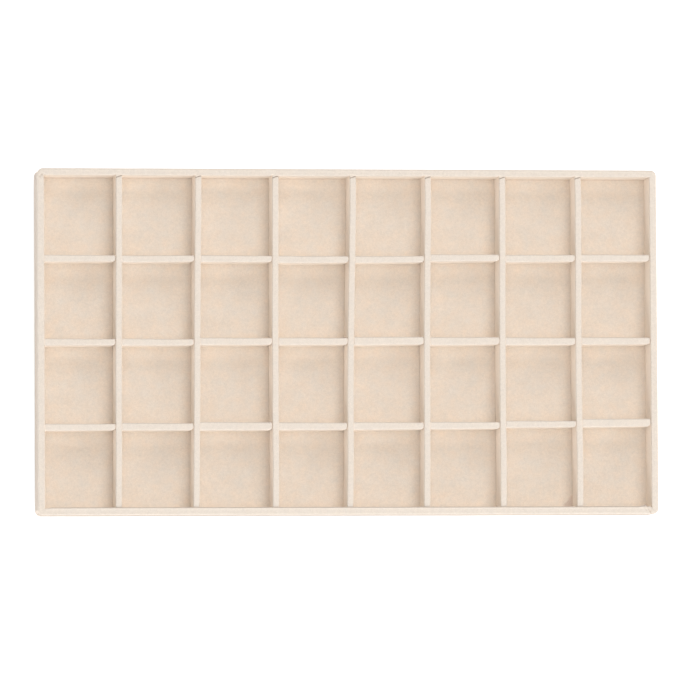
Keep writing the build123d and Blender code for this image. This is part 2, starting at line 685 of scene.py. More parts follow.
@dataclass
class RimCloth:
    """The four mitred wraps of the rim.

    Attributes:
        plan: The tray's sizes.
        corner: Radius of the outer corners in plan.
        outer_edge: Radius of the outer top edge.
        inner_edge: Radius of the inner top edge, where the cloth is pulled tight.
        foot: Radius at the foot of the outer side.
        step: Length of a face along the side.
        section_step: The longest face in the section.
        shell: Thickness of the modelled cloth, a little under the real one, so that it clears the board.
        mitre_steps: How many faces lie along each mitre's zone.
        mitre_zone: How far that zone of close faces reaches from the corner.
        seam_depths: Depth of the mitre's seam at each corner, given as the signs of its x and y.
        seam_width: Half its width.
        seam_foot: Its depth at the foot, as a share of that at the top.
        flattened: How much of each corner's arc is pressed flat.
        folds: The folds that show at the corners.
        fold_drop: How far under the top the folds' painted shade still reaches.
        relief_range: How far under the top folds and dents have gone, and where they are full.
        swells: Height, length and seed of each of the waves in the cloth.
        hem_share: How much of those waves the hem has.
        dish: How far the top sinks in its middle.
        dish_width: Half the width of that.
        tip_places: Where the rim is pressed in beside the column dividers' back ends.
        dent: How deep it is pressed in there.
        dent_width: Half the width of that dent.
        dent_range: How far out from the inner face a dent has gone, and where it is full.
        fullness: How far the front wrap's inner face stands full.
        fullness_fade: Over what length that begins at the rim's corners.
        gather: How much fuller it is where the cloth is gathered, near the front right corner.
        gather_place: How far in from the right end that is.
        gather_width: Half its width.
        edge_fade: How far in from the outer face the painted shade of the top starts and is full.
        skin: How far in from the outer face a point still counts as the outer side.
        handled: How much painted shade darkens the outer sides below the top.
        handled_range: How far under the top that is full, and where it has gone.
        front_handled: The same for the front side, whose painted shade reaches nearly up to the top.
        front_range: How far under the top that is full, and where it has gone.
        lip: How much painted shade darkens the front rim's inner edge, standing in for the shadow side of
            its rounding.
        lip_range: How far out from the front rim's inner face that starts and is full.
        lip_drop: How far under the top it has gone, and where it is full.
        lip_clear: How far from the rim's corners it starts.
    """

    plan: TrayPlan
    corner: float = 3.4 * MM
    outer_edge: float = 1.0 * MM
    inner_edge: float = 0.6 * MM
    foot: float = 0.9 * MM
    step: float = 0.8 * MM
    section_step: float = 1.5 * MM
    shell: float = 0.5 * MM
    mitre_steps: int = 24
    mitre_zone: float = 9 * MM
    seam_depths: dict = field(default_factory=lambda: {
        (1, -1): 0.08 * MM, (1, 1): 0.05 * MM, (-1, 1): 0.06 * MM, (-1, -1): 0.05 * MM})
    seam_width: float = 0.3 * MM
    seam_foot: float = 0.35
    flattened: dict = field(default_factory=lambda: {
        (1, -1): 0.0, (1, 1): 0.0, (-1, 1): 0.2, (-1, -1): 0.12})
    folds: Sequence[CornerFold] = (
        CornerFold((1, -1), (8.2, 5.8), (5.3, 1.7), 0.3, 0.5, 0.36),
        CornerFold((1, -1), (5.3, 1.8), (4.7, 0.1), 0.24, 0.4, 0.2),
        CornerFold((1, -1), (9.2, 4.2), (10.8, 2.2), 0.2, 0.35, 0.12),
        CornerFold((1, -1), (9.0, 4.2), (7.6, 2.2), 0.2, 0.35, 0.12),
        CornerFold((-1, 1), (1.4, 5.2), (3.0, 3.6), 0.34, 0.42, 0.14),
        CornerFold((-1, 1), (3.0, 3.9), (4.3, 5.6), 0.2, 0.4, 0.08))
    fold_drop: float = 3 * MM
    relief_range: tuple[float, float] = (9 * MM, 2 * MM)
    swells: Sequence[tuple[float, float, float]] = ((0.05 * MM, 22 * MM, 1.3), (0.03 * MM, 6 * MM, 4.1))
    hem_share: float = 0.3
    dish: float = 0.07 * MM
    dish_width: float = 1.1 * MM
    tip_places: Sequence[float] = ()
    dent: float = 0.5 * MM
    dent_width: float = 1.1 * MM
    dent_range: tuple[float, float] = (1.2 * MM, 0.5 * MM)
    fullness: float = 0.5 * MM
    fullness_fade: float = 5 * MM
    gather: float = 1.1 * MM
    gather_place: float = 8.4 * MM
    gather_width: float = 1.9 * MM
    edge_fade: tuple[float, float] = (0.1 * MM, 0.9 * MM)
    skin: float = 0.6 * MM
    handled: float = 0.48
    handled_range: tuple[float, float] = (3.5 * MM, 1.2 * MM)
    front_handled: float = 0.64
    front_range: tuple[float, float] = (1.3 * MM, 0.3 * MM)
    lip: float = 0.62
    lip_range: tuple[float, float] = (0.75 * MM, 0.35 * MM)
    lip_drop: tuple[float, float] = (2 * MM, 1 * MM)
    lip_clear: float = 2 * MM

    def section(self) -> list:
        """The wrap's section from the hem's inner edge, round the outside, to the foot of the inner face.

        Returns:
            Pairs of distance in from the outer face, and height.
        """
        plan, outer, inner, foot = self.plan, self.outer_edge, self.inner_edge, self.foot
        points = [(plan.hem, plan.hem_bottom)]
        points += arc((foot, plan.hem_bottom + foot), foot, 270, 180, EDGE_STEPS)
        points += arc((outer, plan.top - outer), outer, 180, 90, EDGE_STEPS)
        flat = plan.rim - outer - inner
        top_steps = 7
        points += [(outer + flat * i / top_steps, plan.top) for i in range(1, top_steps)]
        points += arc((plan.rim - inner, plan.top - inner), inner, 90, 0, EDGE_STEPS)
        above_base = 0.1 * MM
        points.append((plan.rim, plan.base_top + above_base))
        return fill_section(points, self.section_step)

    def side_place(self, along: float, inset: float, half: float, out: float) -> Vector:
        """A point of one side, as if it were the front one, before the turn.

        Args:
            along: Distance from the middle of the side, along the path at this inset.
            inset: Distance in from the outer face.
            half: Half the side's outer length.
            out: Distance from the tray's middle to the side's outer face.

        Returns:
            The point, with its height still 0.
        """
        sign = math.copysign(1.0, along)
        along = abs(along)
        straight = half - self.corner
        if inset >= self.corner or along <= straight:
            return Vector((sign * along, inset - out, 0))
        radius = self.corner - inset
        angle = (along - straight) / radius
        x = sign * (straight + radius * math.sin(angle))
        return Vector((x, self.corner - radius * math.cos(angle) - out, 0))

    def where(self, place: Vector) -> tuple[tuple[int, int], float, float]:
        """The nearest corner of a place, and how far it lies in from the tray's end and from its side.

        Args:
            place: The point.

        Returns:
            The corner as the signs of its x and y, and both distances.
        """
        corner = (1 if place.x > 0 else -1, 1 if place.y > 0 else -1)
        return corner, self.plan.half_length - abs(place.x), self.plan.half_depth - abs(place.y)

    def flatten(self, place: Vector) -> Vector:
        """Pull a point of an outer corner's arc towards the corner's chord, by the corner's own share."""
        corner, from_end, from_side = self.where(place)
        over = self.corner - from_end - from_side
        if over <= 0 or place.z < self.plan.hem_bottom + self.foot:
            return place
        return place - Vector((*corner, 0)) * (over * self.flattened[corner] / 2)

    def stations(self, inset: float, half: float) -> list[float]:
        """Distances along the side at one inset, close together towards both mitres.

        Args:
            inset: Distance in from the outer face.
            half: Half the side's outer length.

        Returns:
            Distances from the middle, from one mitre to the other.
        """
        if inset < self.corner:
            end = half - self.corner + (self.corner - inset) * math.pi / 4
        else:
            end = half - inset
        near = end - self.mitre_zone
        count = round(half / self.step)
        one_way = [near * i / count for i in range(count + 1)]
        crowding = 1.3
        for i in range(1, self.mitre_steps + 1):
            one_way.append(end - (end - near) * (1 - i / self.mitre_steps) ** crowding)
        return [-x for x in reversed(one_way[1:])] + one_way

    def layout(self, side: Side) -> tuple[float, float, Matrix]:
        """Half length, distance out and turn of one side."""
        half, out = self.plan.half_length, self.plan.half_depth
        if side in (Side.LEFT, Side.RIGHT):
            half, out = out, half
        return half, out, Matrix.Rotation(math.radians(side.value), 3, "Z")

    def relief(self, place: Vector, normal: Vector) -> float:
        """How far the cloth stands off its plain shape: waves, a dished top and the folds at the mitres.

        Args:
            place: The point.
            normal: Its normal.

        Returns:
            The distance along the normal.
        """
        plan = self.plan
        move = sum(height * wave(place, length, seed) for height, length, seed in self.swells)
        if place.z < plan.hem_bottom + self.foot:
            return move * self.hem_share
        corner, from_end, from_side = self.where(place)
        inset = min(from_end, from_side)
        near_top = self.under_top(place, self.relief_range)
        off_seam = (from_end - from_side) / math.sqrt(2)
        deep = self.seam_foot + (1 - self.seam_foot) * near_top
        move -= self.seam_depths[corner] * deep * bump(off_seam, self.seam_width)
        if max(from_end, from_side) < self.mitre_zone + MM:
            folds = [fold for fold in self.folds if fold.corner == corner]
            move += near_top * sum(fold.height(from_end / MM, from_side / MM) for fold in folds) * MM
        if normal.z > 0.9:
            move -= self.dish * bump(inset - plan.rim / 2, self.dish_width)
        if place.y < 0 and abs(from_side - plan.rim) < MM:
            full = self.fullness * smooth_step(0, self.fullness_fade, from_end - plan.rim)
            if place.x > 0:
                gathered = bump(from_end - self.gather_place, self.gather_width)
                full += self.gather * (0.5 + 0.5 * near_top) * gathered
            move += full * max(0.0, normal.y)
        if place.y > 0 and from_side < plan.rim + MM:
            beside = sum(bump(place.x - tip, self.dent_width) for tip in self.tip_places)
            start, end = self.dent_range
            inner = smooth_step(plan.rim - start, plan.rim - end, inset)
            move -= self.dent * min(1.0, beside) * inner * near_top
        return move

    def under_top(self, place: Vector, reach: tuple[float, float]) -> float:
        """Ease from 0 at the first of two distances under the top to 1 at the second."""
        low, high = reach
        return smooth_step(self.plan.top - low, self.plan.top - high, place.z)

    def flat_pile(self, place: Vector) -> float:
        """How much painted shade darkens the cloth at a place: on the top, the outer sides, the front rim's
        inner edge and in the folds.

        Args:
            place: The point.

        Returns:
            The share, from 0 to 1.
        """
        plan = self.plan
        corner, from_end, from_side = self.where(place)
        flat = brushed(place, plan.top)
        front = place.y < 0 and from_side < from_end
        if not front:
            flat *= smooth_step(*self.edge_fade, min(from_end, from_side))
        round_corner = Vector((max(0.0, self.corner - from_end), max(0.0, self.corner - from_side)))
        # Painted shade on the outer sides, reaching nearly to the top on the front side.
        if self.corner - round_corner.length < self.skin:
            share, reach = self.handled, self.handled_range
            if front:
                share, reach = self.front_handled, self.front_range
            flat = max(flat, share * (1 - self.under_top(place, reach)))
        # A painted shadow along the front rim's inner edge.
        if front and from_end > plan.rim + self.lip_clear:
            inner_face = plan.rim + self.fullness
            start, end = self.lip_range
            over = smooth_step(inner_face - start, inner_face - end, from_side)
            flat = max(flat, self.lip * over * self.under_top(place, self.lip_drop))
        if max(from_end, from_side) > self.mitre_zone or place.z < plan.top - self.fold_drop:
            return flat
        # Painted shade in the folds at the corners.
        folds = [fold for fold in self.folds if fold.corner == corner]
        return min(1.0, flat + sum(fold.matted(from_end / MM, from_side / MM) for fold in folds))

    def wrap(self, side: Side, material: bpy.types.Material) -> None:
        """Make one side's wrap.

        Args:
            side: The side.
            material: Its cloth.
        """
        section = self.section()
        half, out, turn = self.layout(side)
        rows = []
        for inset, height in section:
            row = [self.side_place(s, inset, half, out) for s in self.stations(inset, half)]
            rows.append([self.flatten(turn @ (p + Vector((0, 0, height)))) for p in row])
        mesh = grid_mesh(f"rim_cloth_{side.word}", rows)
        displace(mesh, self.relief)
        mesh = thicken(mesh, self.shell)
        mark(mesh, self.flat_pile)
        mesh.materials.append(material)
        piece = Piece(add_object(mesh.name, mesh), [f"rim_wrap_{side.word}"], "rim_cloth")
        piece.hand_over()

    def build(self, material: bpy.types.Material) -> None:
        """Make the four wraps of one cloth."""
        for side in Side:
            self.wrap(side, material)


def sway_group() -> bpy.types.GeometryNodeTree:
    """A shared step of the strips' trees that sways points by smooth noise.

    Returns:
        A group with the named inputs Geometry, Height, Length and Seed.
    """
    make = new_group(
        "Cloth sway", "GeometryNodeTree",
        {"Geometry": "Geometry", "Height": 0.1 * MM, "Length": 20 * MM, "Seed": 0.0},
        {"Geometry": "Geometry"})
    given = make.add("NodeGroupInput").outputs
    place = make.add("GeometryNodeInputPosition").outputs[0]
    scale = make.maths("DIVIDE", 1.0, given["Length"])
    cloud = make.add("ShaderNodeTexNoise", {
        "Vector": place, "W": given["Seed"], "Scale": scale, "Detail": 1.5}, noise_dimensions="4D")
    centred = make.vector("SUBTRACT", cloud.outputs["Color"], (0.5, 0.5, 0.5))
    height = make.maths("MULTIPLY", given["Height"], 4.0)
    sway = make.add("ShaderNodeVectorMath", {0: centred, "Scale": height}, operation="SCALE").outputs[0]
    moved = make.add("GeometryNodeSetPosition", {"Geometry": given["Geometry"], "Offset": sway})
    make.add("NodeGroupOutput", {"Geometry": moved.outputs[0]})
    return make.tree


def sway_and_dress(make: NodeMaker, shape: bpy.types.NodeSocket, sway: bpy.types.GeometryNodeTree) -> None:
    """End a strip's tree: sway the shape, realize its instances and set its material.

    Args:
        make: The maker of the strip's tree, which has the inputs of STRIP_INPUTS.
        shape: The strip's geometry.
        sway: The shared step that makes the cloth uneven.
    """
    given = make.add("NodeGroupInput").outputs
    swayed = make.add("GeometryNodeGroup", node_tree=sway)
    make.tree.links.new(shape, swayed.inputs["Geometry"])
    for source, target in (("Sway", "Height"), ("Sway length", "Length"), ("Seed", "Seed")):
        make.tree.links.new(given[source], swayed.inputs[target])
    real = make.add("GeometryNodeRealizeInstances", {"Geometry": swayed.outputs[0]})
    dressed = make.add("GeometryNodeSetMaterial", {"Geometry": real.outputs[0], "Material": given["Cloth"]})
    make.add("NodeGroupOutput", {"Geometry": dressed.outputs[0]})


def column_tree(sway: bpy.types.GeometryNodeTree) -> bpy.types.GeometryNodeTree:
    """Sweep a wrap's section along the path of a column divider.

    Args:
        sway: The shared step that makes the cloth uneven.

    Returns:
        A tree with the named inputs Geometry, Section, Step, Sway, Sway length, Seed and Cloth.
    """
    inputs = {"Geometry": "Geometry", "Section": "Object", "Step": 0.0, **STRIP_INPUTS}
    make = new_group("Column wrap", "GeometryNodeTree", inputs, {"Geometry": "Geometry"})
    given = make.add("NodeGroupInput").outputs
    path = make.add("GeometryNodeResampleCurve", {"Curve": given["Geometry"], "Length": given["Step"]},
                    mode="LENGTH").outputs[0]
    path = make.add("GeometryNodeSetCurveNormal", {"Curve": path}, mode="Z_UP").outputs[0]
    section = make.add("GeometryNodeObjectInfo", {"Object": given["Section"]}).outputs["Geometry"]
    swept = make.add("GeometryNodeCurveToMesh", {"Curve": path, "Profile Curve": section}).outputs[0]
    sway_and_dress(make, swept, sway)
    return make.tree


def row_tree(sway: bpy.types.GeometryNodeTree) -> bpy.types.GeometryNodeTree:
    """Set one wrap on each point of a row, sized and rotated by the points' attributes.

    Args:
        sway: The shared step that makes the cloth uneven.

    Returns:
        A tree with the named inputs Geometry, Wrap, Sway, Sway length, Seed and Cloth.
    """
    inputs = {"Geometry": "Geometry", "Wrap": "Object", **STRIP_INPUTS}
    make = new_group("Row of cross wraps", "GeometryNodeTree", inputs, {"Geometry": "Geometry"})
    given = make.add("NodeGroupInput").outputs
    unit = make.add("GeometryNodeObjectInfo", {"Object": given["Wrap"]}).outputs["Geometry"]
    size, turn = (
        make.add("GeometryNodeInputNamedAttribute", {"Name": name}, data_type="FLOAT_VECTOR").outputs[0]
        for name in ("stretch", "turn"))
    placed = make.add("GeometryNodeInstanceOnPoints", {
        "Points": given["Geometry"], "Instance": unit, "Rotation": turn, "Scale": size}).outputs[0]
    single = make.add("GeometryNodeRealizeInstances", {"Geometry": placed}).outputs[0]
    sway_and_dress(make, single, sway)
    return make.tree


def apply_tree(obj: bpy.types.Object, tree: bpy.types.GeometryNodeTree, inputs: dict,
               name: str) -> bpy.types.Mesh:
    """Put an object through a Geometry Nodes tree and keep the result as a plain mesh.

    Args:
        obj: The object, which is used up.
        tree: The tree.
        inputs: The values of its named inputs.
        name: The mesh's name.

    Returns:
        The mesh.
    """
    modifier = obj.modifiers.new(tree.name, "NODES")
    modifier.node_group = tree
    identifiers = {s.name: s.identifier for s in tree.interface.items_tree if s.in_out == "INPUT"}
    for key, value in inputs.items():
        modifier[identifiers[key]] = value
    mesh = evaluated_mesh(obj, name)
    bpy.data.objects.remove(obj)
    return mesh


@dataclass
class ColumnCloth:
    """The wraps of the seven column dividers, each swept along its leaning board.

    Attributes:
        plan: The tray's sizes.
        edge: Radius of the rounded top edges.
        tuck: How far the cloth turns in at its foot.
        step: Length of a face along the divider.
        section_step: The longest face in the section.
        shell: Thickness of the modelled cloth.
        reach: How far each wrap runs on into the rim's cloth.
        sway: How uneven the cloth is.
        sway_length: Distance between its swells.
        seed_step: How far the pattern of the sway shifts from one divider to the next.
        fine_end: How far from its back end and how far under its top a wrap has small faces.
        fine_cuts: How many cuts an edge gets there.
        fold_start: Where the fold that closes that end starts, in millimetres to the right of the board's
            end and in front of it.
        fold_end: Where it ends, given the same way.
        fold_depth: How deep it is pressed in.
        fold_width: How wide it is, in millimetres.
        dent_shift: How far to the left of a board's back end the rim is pressed in.
        bows: How far each divider bows to the right, in millimetres, at places from the back to the front.
    """

    plan: TrayPlan
    edge: float = 0.65 * MM
    tuck: float = 0.05 * MM
    step: float = 1.4 * MM
    section_step: float = 1.3 * MM
    shell: float = 0.45 * MM
    reach: float = 0.8 * MM
    sway: float = 0.08 * MM
    sway_length: float = 20 * MM
    seed_step: float = 3.7
    fine_end: tuple[float, float] = (3.5 * MM, 2 * MM)
    fine_cuts: int = 4
    fold_start: tuple[float, float] = (-2.4, 1.4)
    fold_end: tuple[float, float] = (1.6, 0.0)
    fold_depth: float = 0.45 * MM
    fold_width: float = 0.25
    dent_shift: float = 1.4 * MM
    bows: Sequence[Sequence[float]] = (
        (0.1, 0.0, -0.1, -0.1, 0.1), (0.2, -0.2, 0.1, 0.1, 0.0), (0.1, -0.1, -0.2, 0.0, 0.2),
        (0.4, -0.1, -0.4, -0.2, 0.4), (0.4, -0.1, -0.2, -0.1, 0.2), (0.1, 0.0, -0.2, -0.1, 0.2),
        (0.4, 0.0, -0.2, -0.3, 0.4))

    def path(self, number: int) -> list[Vector]:
        """The line that one divider's cloth follows, with its slight bow, from the front to the back.

        Args:
            number: The divider, counted from one at the left.

        Returns:
            Points on the tray's underside, the first and last a little way inside the rim.
        """
        front, back = self.ends(number)
        way = (back - front).normalized()
        points = [front - way * self.reach]
        bows = self.bows[number - 1][::-1]
        for i, bow in enumerate(bows):
            share = (i + 0.5) / len(bows)
            points.append(front.lerp(back, share) + Vector((bow * MM, 0, 0)))
        points.append(back + way * self.reach)
        return points

    def ends(self, number: int) -> tuple[Vector, Vector]:
        """Middle of one board's foot at its front and back ends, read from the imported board."""
        points = [v.co for v in bpy.data.objects[f"column_divider_{number}"].data.vertices]
        found = []
        for sign in (-1, 1):
            across = [p.x for p in points if sign * p.y > 0]
            found.append(Vector(((min(across) + max(across)) / 2, sign * self.plan.inner_half_depth, 0)))
        return tuple(found)

    def back_dents(self) -> list[float]:
        """Where along the back rim its cloth is pressed in beside the dividers' ends."""
        return [self.ends(number)[1].x - self.dent_shift for number in range(1, COLUMNS)]

    def guide(self, number: int) -> bpy.types.Object:
        """The path of one divider as a smooth curve object."""
        points = self.path(number)
        curve = bpy.data.curves.new("column_path", "CURVE")
        curve.dimensions = "3D"
        curve.resolution_u = 12
        spline = curve.splines.new("NURBS")
        spline.points.add(len(points) - 1)
        for target, point in zip(spline.points, points):
            target.co = (*point, 1)
        spline.order_u = 4
        spline.use_endpoint_u = True
        return add_object("column_path", curve)

    def section(self, half: float, top: float) -> bpy.types.Object:
        """The wrap's section as a curve to sweep: over one side, the top and the other side.

        Args:
            half: Half the wrap's thickness.
            top: Its height.

        Returns:
            The curve object, in its own plane, with the height along its second axis, downwards, because the
            sweep turns that axis down.
        """
        foot = self.plan.floor_top
        points = [(-half + self.tuck, foot), (-half, foot + 4 * self.tuck)]
        points += arc((-half + self.edge, top - self.edge), self.edge, 180, 90, EDGE_STEPS)
        points += arc((half - self.edge, top - self.edge), self.edge, 90, 0, EDGE_STEPS)
        points += [(half, foot + 4 * self.tuck), (half - self.tuck, foot)]
        points = fill_section(points, self.section_step)
        curve = bpy.data.curves.new("column_section", "CURVE")
        spline = curve.splines.new("POLY")
        spline.points.add(len(points) - 1)
        for target, (across, height) in zip(spline.points, points):
            target.co = (across, -height, 0, 1)
        return add_object("column_section", curve)

    def pinch(self, place: Vector, tip: Vector) -> float:
        """How far the cloth is pinched in, and how much painted shadow lies there, from 0 to 1, along the
        fold that closes a wrap's back end.

        Args:
            place: The point.
            tip: Middle of the board's foot at its back end.

        Returns:
            The share of the full depth.
        """
        from_tip = Vector((place.x - tip.x, tip.y - place.y)) / MM
        gap = gap_to_line(from_tip, Vector(self.fold_start), Vector(self.fold_end))
        return bump(gap.length, self.fold_width)

    def wrap(self, number: int, material: bpy.types.Material, tree: bpy.types.GeometryNodeTree) -> None:
        """Make one divider's wrap.

        Args:
            number: The divider, counted from one at the left.
            material: Its cloth.
            tree: The tree that sweeps it.
        """
        wrap_low, wrap_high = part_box(f"column_wrap_{number}")
        board_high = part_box(f"column_divider_{number}")[1]
        front, back = self.ends(number)
        top = wrap_high.z
        half = (wrap_high.x - wrap_low.x - abs(back.x - front.x)) / 2
        section = self.section(half, top)
        inputs = {"Section": section, "Step": self.step, "Sway": self.sway, "Sway length": self.sway_length,
                  "Seed": self.seed_step * number, "Cloth": material}
        mesh = apply_tree(self.guide(number), tree, inputs, f"column_cloth_{number}")
        bpy.data.objects.remove(section)
        fine_length, fine_depth = self.fine_end
        upper = top - fine_depth
        divide(mesh, lambda place: place.y > back.y - fine_length and place.z > upper, self.fine_cuts)
        mesh = thicken(mesh, min(self.shell, top - board_high.z))
        for vertex in mesh.vertices:
            if vertex.co.z > upper:
                vertex.co.z -= self.fold_depth * self.pinch(vertex.co, back)
        # Painted shade: the top is darkened, and a painted shadow lies along the fold that closes the back
        # end, beside its groove.
        mark(mesh, lambda place: brushed(place, top)
             + self.pinch(place, back) * smooth_step(upper, upper + MM, place.z))
        piece = Piece(add_object(mesh.name, mesh), [f"column_wrap_{number}"], "divider_cloth")
        piece.hand_over()

    def build(self, material: bpy.types.Material, tree: bpy.types.GeometryNodeTree) -> None:
        """Make the seven wraps of one cloth with the tree that sweeps them."""
        for number in range(1, COLUMNS):
            self.wrap(number, material, tree)


@dataclass
class CrossCloth:
    """The wraps of the cross dividers, eight to a row.

    Attributes:
        plan: The tray's sizes.
        edge: Radius of the rounded top edges.
        tip: Radius of the upright edge at the right end's front.
        sharp_tip: Radius of the upright edge at the right end's back.
        tip_reach: How far the right end's pile stands towards its neighbour.
        butt: Radius of the upright edges at the left end, which butts on its neighbour.
        butt_reach: How far the left end is pressed into its neighbour's pile.
        tuck: How far the cloth turns in at its foot.
        taper: How much of its thickness a wrap loses towards its right end.
        section_step: The longest face in the outline and up the sides.
        shell: Thickness of the modelled cloth.
        sway: How uneven the cloth is.
        sway_length: Distance between its swells.
        first_seed: What the pattern of the sway starts from in the first row.
        fullness: How thick each wrap looks against the even one, from the left, row by row.
        turns: How far each wrap is swung out of line, in degrees, row by row.
    """

    plan: TrayPlan
    edge: float = 0.65 * MM
    tip: float = 1.9 * MM
    sharp_tip: float = 0.9 * MM
    tip_reach: float = 0.1 * MM
    butt: float = 0.3 * MM
    butt_reach: float = 0.3 * MM
    tuck: float = 0.05 * MM
    taper: float = 0.05
    section_step: float = 1.4 * MM
    shell: float = 0.5 * MM
    sway: float = 0.1 * MM
    sway_length: float = 18 * MM
    first_seed: float = 11.0
    fullness: dict = field(default_factory=lambda: {
        "back": (0.94, 0.93, 0.93, 0.98, 0.93, 0.97, 1.0, 0.98),
        "middle": (0.95, 0.95, 1.0, 1.02, 1.13, 1.1, 1.04, 1.0),
        "front": (0.97, 1.03, 1.15, 1.06, 1.04, 1.0, 0.95, 1.16)})
    turns: dict = field(default_factory=lambda: {
        "back": (0.0, 0.3, 0.0, 0.2, 0.5, 0.3, 0.3, 0.2),
        "middle": (0.1, 0.0, 0.2, 0.2, 0.5, 0.4, 0.1, 0.0),
        "front": (0.1, 0.0, -0.1, 0.0, 0.0, 0.1, 0.2, 0.5)})

    def plan_outline(self, half_length: float, half_width: float) -> list:
        """The outline of a wrap in plan, going round to the left: a round right end and a square left one.

        Args:
            half_length: Half the wrap's length.
            half_width: Half its thickness.

        Returns:
            Pairs of distance along and across, without the first one again at the end.
        """
        tip, sharp, butt = self.tip, self.sharp_tip, self.butt
        right, left = half_length - tip, butt - half_length
        points = arc((half_length - sharp, half_width - sharp), sharp, 0, 90, 4)
        points += arc((left, half_width - butt), butt, 90, 180, 3)
        points += arc((left, butt - half_width), butt, 180, 270, 3)
        points += arc((right, tip - half_width), tip, 270, 360, EDGE_STEPS)
        points.append(points[0])
        return fill_section(points, self.section_step)[:-1]

    def unit_wrap(self, length: float, width: float, top: float) -> bpy.types.Object:
        """One wrap at its own size, standing at the origin: sides, rounded tips and a closed top.

        Args:
            length: Its length.
            width: Its thickness.
            top: Its height.

        Returns:
            The object with the shell.
        """
        foot = self.plan.floor_top
        top_steps = 3
        ridge = 0.05 * MM
        nearly_half = width / 2 - ridge
        profile = [(self.tuck, foot), (0, foot + 4 * self.tuck)]
        profile += arc((self.edge, top - self.edge), self.edge, 180, 90, EDGE_STEPS)
        profile = fill_section(profile, self.section_step)
        for i in range(1, top_steps + 1):
            profile.append((self.edge + (nearly_half - self.edge) * i / top_steps, top))
        core = length / 2 - width / 2
        rows = []
        for inset, height in profile:
            row = []
            for x, y in self.plan_outline(length / 2, width / 2):
                core_x = max(-core, min(core, x))
                reach = Vector((x - core_x, y, 0))
                kept = max(0.0, 1 - inset / max(abs(reach.x), abs(reach.y), nearly_half))
                place = Vector((core_x, 0, height)) + reach * kept
                place.y *= 1 - self.taper * place.x / (length / 2)
                row.append(place)
            rows.append(row + row[:1])
        mesh = grid_mesh("cross_wrap_unit", rows)
        work = bmesh.new()
        work.from_mesh(mesh)
        touching = 0.02 * MM
        bmesh.ops.remove_doubles(work, verts=work.verts, dist=touching)
        left_open = [e for e in work.edges if e.is_boundary and e.verts[0].co.z > top - MM]
        bmesh.ops.holes_fill(work, edges=left_open)
        work.to_mesh(mesh)
        work.free()
        return add_object("cross_wrap_unit", thicken(mesh, self.shell))

    def row_points(self, row: str, places: Sequence[tuple], stretches: Sequence[float]) -> bpy.types.Object:
        """The places of one row's wraps as points that carry each wrap's size and turn.

        Args:
            row: The row's name.
            places: The wraps' places.
            stretches: How long each wrap is against the even one.

        Returns:
            The object with the points.
        """
        points = bpy.data.meshes.new("cross_row")
        points.from_pydata(places, [], [])
        stretch = points.attributes.new("stretch", "FLOAT_VECTOR", "POINT")
        turn = points.attributes.new("turn", "FLOAT_VECTOR", "POINT")
        for i, length in enumerate(stretches):
            stretch.data[i].vector = (length, self.fullness[row][i], 1)
            turn.data[i].vector = (0, 0, math.radians(self.turns[row][i]))
        return add_object("cross_row", points)

    def row(self, row: str, seed: float, material: bpy.types.Material,
            tree: bpy.types.GeometryNodeTree) -> None:
        """Make one row of wraps.

        Args:
            row: The row's name.
            seed: Shifts the pattern of its sway.
            material: Its cloth.
            tree: The tree that sets the wraps.
        """
        names = [f"cross_divider_{row}_{number}" for number in range(1, COLUMNS + 1)]
        boards = [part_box(name) for name in names]
        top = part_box(f"cross_wraps_{row}")[1].z
        first_low, first_high = boards[0]
        cloth = top - first_high.z
        width = first_high.y - first_low.y + 2 * cloth
        lengths = [high.x - low.x + 2 * cloth + self.butt_reach + self.tip_reach for low, high in boards]
        usual = sum(lengths) / len(lengths)
        pull = self.tip_reach - self.butt_reach
        places = [((low.x + high.x + pull) / 2, (low.y + high.y) / 2, 0) for low, high in boards]
        points = self.row_points(row, places, [length / usual for length in lengths])
        unit = self.unit_wrap(usual, width, top)
        inputs = {"Wrap": unit, "Sway": self.sway, "Sway length": self.sway_length, "Seed": seed,
                  "Cloth": material}
        mesh = apply_tree(points, tree, inputs, f"cross_cloth_{row}")
        bpy.data.objects.remove(unit)
        # Painted shade darkens the wraps' tops.
        mark(mesh, lambda place: brushed(place, top))
        piece = Piece(add_object(mesh.name, mesh), [f"cross_wraps_{row}"], "divider_cloth")
        piece.hand_over()

    def build(self, material: bpy.types.Material, tree: bpy.types.GeometryNodeTree) -> None:
        """Make the three rows of one cloth with the tree that sets their wraps."""
        for number, row in enumerate(ROWS):
            self.row(row, self.first_seed + number, material, tree)


